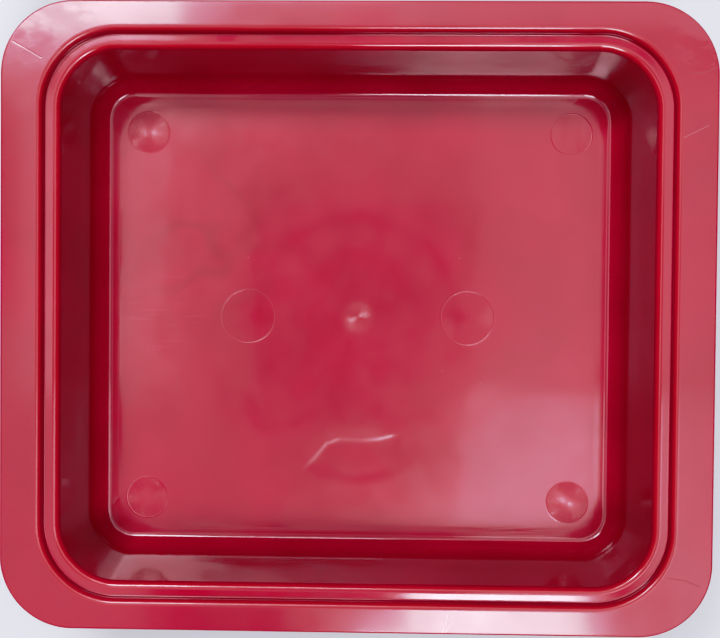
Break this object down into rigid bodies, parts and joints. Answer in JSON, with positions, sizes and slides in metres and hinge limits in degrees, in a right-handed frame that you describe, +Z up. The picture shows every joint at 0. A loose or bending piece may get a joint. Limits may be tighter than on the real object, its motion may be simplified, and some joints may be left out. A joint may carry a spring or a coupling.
{
  "type": "developing tray",
  "caption": "Deep rectangular photographic developing tray in glossy red moulded plastic: flat floor, drafted walls, narrow ledge round the mouth and a wide flat flange with a turned-down lip.",
  "frame": {"origin": "middle of the tray's underside, on the surface that it stands on", "axes": "+X along the long side, +Y along the short side away from the user, +Z up out of the tray's mouth"},
  "size_m": [0.355, 0.3134, 0.057],
  "materials": {
    "tray_plastic": "gloss deep red polypropylene, scuffed flange"
  },
  "bodies": {
    "root": {"tray": "tray_plastic"}
  },
  "joints": []
}
